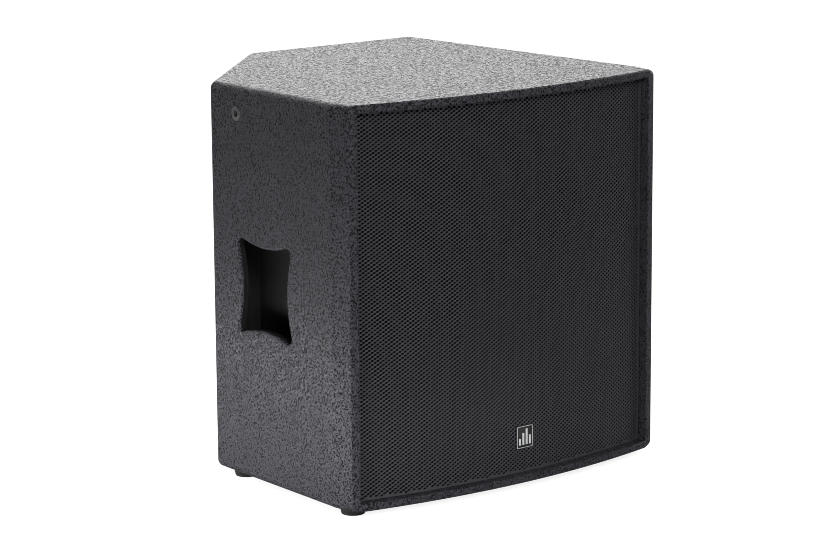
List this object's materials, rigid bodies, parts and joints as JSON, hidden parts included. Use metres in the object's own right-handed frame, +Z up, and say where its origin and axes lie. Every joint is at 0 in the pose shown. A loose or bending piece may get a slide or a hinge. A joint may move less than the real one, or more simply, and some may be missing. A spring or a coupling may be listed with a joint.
{
  "type": "subwoofer cabinet",
  "caption": "Ported subwoofer cabinet with bowed perforated grille, cut rear corner, hand holes, rigging inserts, rubber feet and a moving driver cone.",
  "frame": {"origin": "centre of the overall box in plan, at the bottom of the rubber feet", "axes": "+Z up; the bowed grille faces -Y, so +X is on the right of someone who looks at the grille; the cut rear corner is at -X and +Y"},
  "size_m": [0.597, 0.5979, 0.597],
  "materials": {
    "structured_paint": "structured dark grey polyurethane paint on birch plywood, satin pebble grain",
    "black_painted_ply": "matt black painted plywood",
    "birch_ply": "raw birch plywood",
    "grille_steel": "black powder coat, satin",
    "acoustic_foam": "open-cell foam",
    "spring_steel": "bright spring steel",
    "badge_plate": "black gloss with pale raised marks",
    "cast_aluminium": "black powder-coated casting",
    "black_rubber": "matt black",
    "treated_cloth": "coated cloth",
    "paper_cone": "pressed paper pulp",
    "former_glass_fibre": "glass-fibre laminate",
    "copper_wire": "enamelled copper",
    "spider_cloth": "resin-treated cotton",
    "zinc_plated_steel": "zinc plated",
    "ferrite": "ground ferrite",
    "black_plastic": "fine moulded grain",
    "red_plastic": "moulded",
    "black_steel": "black oxide",
    "socket_plastic": "moulded",
    "red_insulation": "flexible sleeve",
    "black_insulation": "flexible sleeve",
    "wadding": "polyester wadding",
    "dull_steel": "dull bare steel"
  },
  "bodies": {
    "cabinet": {"top_panel": "structured_paint", "bottom_panel": "structured_paint", "left_side_panel": "structured_paint", "right_side_panel": "structured_paint", "corner_panel": "structured_paint", "rear_panel": "structured_paint", "front_rail_left": "structured_paint", "front_rail_right": "structured_paint", "baffle": "black_painted_ply", "window_brace": "birch_ply", "handle_pocket_left": "black_painted_ply", "handle_pocket_right": "black_painted_ply", "grille_batten_top": "black_painted_ply", "grille_batten_bottom": "black_painted_ply", "grille": "grille_steel", "grille_foam": "acoustic_foam", "grille_springs": "spring_steel", "badge": "badge_plate", "driver_basket": "cast_aluminium", "driver_gasket": "black_rubber", "surround_clamp_ring": "black_rubber", "surround": "treated_cloth", "spider": "spider_cloth", "top_plate": "zinc_plated_steel", "magnet": "ferrite", "back_plate": "zinc_plated_steel", "driver_terminals": "red_plastic", "tinsel_leads": "copper_wire", "driver_screws": "black_steel", "tee_nuts": "zinc_plated_steel", "port_tube_upper_left": "black_plastic", "port_tube_upper_right": "black_plastic", "port_tube_lower_left": "black_plastic", "port_tube_lower_right": "black_plastic", "connector_dish": "black_plastic", "dish_gasket": "black_rubber", "dish_screws": "black_steel", "input_socket": "socket_plastic", "link_socket": "socket_plastic", "socket_screws": "black_steel", "lead_positive": "red_insulation", "lead_negative": "black_insulation", "damping_rear": "wadding", "damping_top": "wadding", "damping_bottom": "wadding", "damping_corner": "wadding", "rigging_insert_left": "dull_steel", "rigging_insert_right": "dull_steel", "foot_front_left": "black_rubber", "foot_front_right": "black_rubber", "foot_side_left": "black_rubber", "foot_rear_left": "black_rubber", "foot_rear_right": "black_rubber", "foot_screws": "zinc_plated_steel"},
    "diaphragm": {"cone": "paper_cone", "dust_cap": "paper_cone", "voice_coil_former": "former_glass_fibre", "voice_coil_winding": "copper_wire"}
  },
  "joints": [
    {"name": "cone_travel", "type": "slide", "parent": "cabinet", "child": "diaphragm", "axis": [0, -1, 0], "range_m": [-0.01, 0.01], "deforming": ["surround", "spider", "tinsel_leads"]}
  ]
}
